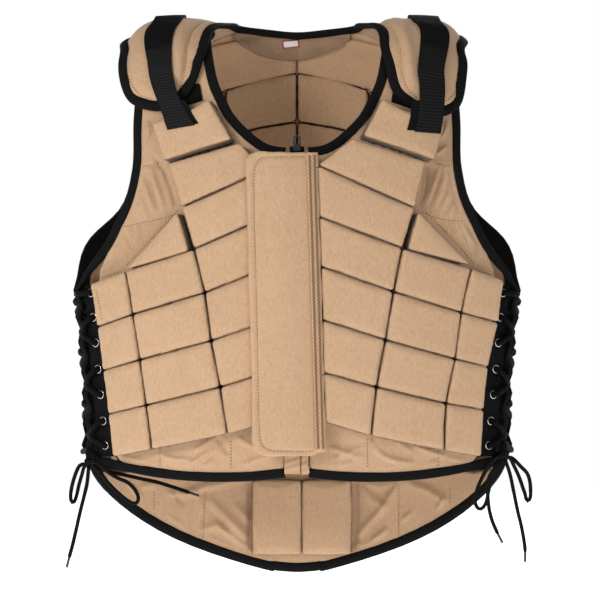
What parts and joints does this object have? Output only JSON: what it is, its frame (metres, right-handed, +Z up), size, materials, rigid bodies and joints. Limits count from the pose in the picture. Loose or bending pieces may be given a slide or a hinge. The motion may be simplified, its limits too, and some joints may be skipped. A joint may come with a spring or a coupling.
{
  "type": "equestrian body protector",
  "caption": "Waistcoat of foam blocks in tan cloth with black binding, zipped under a centre flap, strapped at the shoulders and laced at the sides",
  "frame": {"origin": "between the shoulders, at the height and depth where the top of the cloth bears on them", "axes": "+Z up, -Y out of the front, +X to the right of someone who looks at the front"},
  "size_m": [0.5053, 0.2556, 0.6225],
  "materials": {
    "cloth": "matt tan polyester cloth over foam",
    "binding": "matt black tape",
    "lacing_strip": "black cloth strip with eyelets",
    "lace": "black braided cord",
    "webbing": "ribbed black webbing",
    "zip": "tan placket with a black zip",
    "zip_pull": "matt black"
  },
  "bodies": {
    "root": {"back": "cloth", "back_edging": "binding", "binding_left": "binding", "binding_right": "binding", "bow_left": "lace", "bow_right": "lace", "centre_flap": "cloth", "front_left": "cloth", "front_right": "cloth", "lace_end_left_inner": "lace", "lace_end_left_outer": "lace", "lace_end_right_inner": "lace", "lace_end_right_outer": "lace", "lacing_strip_left": "lacing_strip", "lacing_strip_right": "lacing_strip", "pad_left_inner_1": "cloth", "pad_left_inner_2": "cloth", "pad_left_inner_3": "cloth", "pad_left_inner_4": "cloth", "pad_left_inner_5": "cloth", "pad_left_inner_6": "cloth", "pad_left_mid_1": "cloth", "pad_left_mid_2": "cloth", "pad_left_mid_3": "cloth", "pad_left_mid_4": "cloth", "pad_left_side_1": "cloth", "pad_left_side_2": "cloth", "pad_left_side_3": "cloth", "pad_left_side_4": "cloth", "pad_left_wedge": "cloth", "pad_left_yoke": "cloth", "pad_right_inner_1": "cloth", "pad_right_inner_2": "cloth", "pad_right_inner_3": "cloth", "pad_right_inner_4": "cloth", "pad_right_inner_5": "cloth", "pad_right_inner_6": "cloth", "pad_right_mid_1": "cloth", "pad_right_mid_2": "cloth", "pad_right_mid_3": "cloth", "pad_right_mid_4": "cloth", "pad_right_side_1": "cloth", "pad_right_side_2": "cloth", "pad_right_side_3": "cloth", "pad_right_side_4": "cloth", "pad_right_wedge": "cloth", "pad_right_yoke": "cloth", "shoulder_flap_left": "cloth", "shoulder_flap_right": "cloth", "side_lace_left": "lace", "side_lace_right": "lace", "strap_anchor_left": "webbing", "strap_anchor_right": "webbing", "strap_left": "webbing", "strap_right": "webbing", "tail_pad_left": "cloth", "tail_pad_right": "cloth", "zip": "zip", "zip_pull": "zip_pull"}
  },
  "joints": []
}
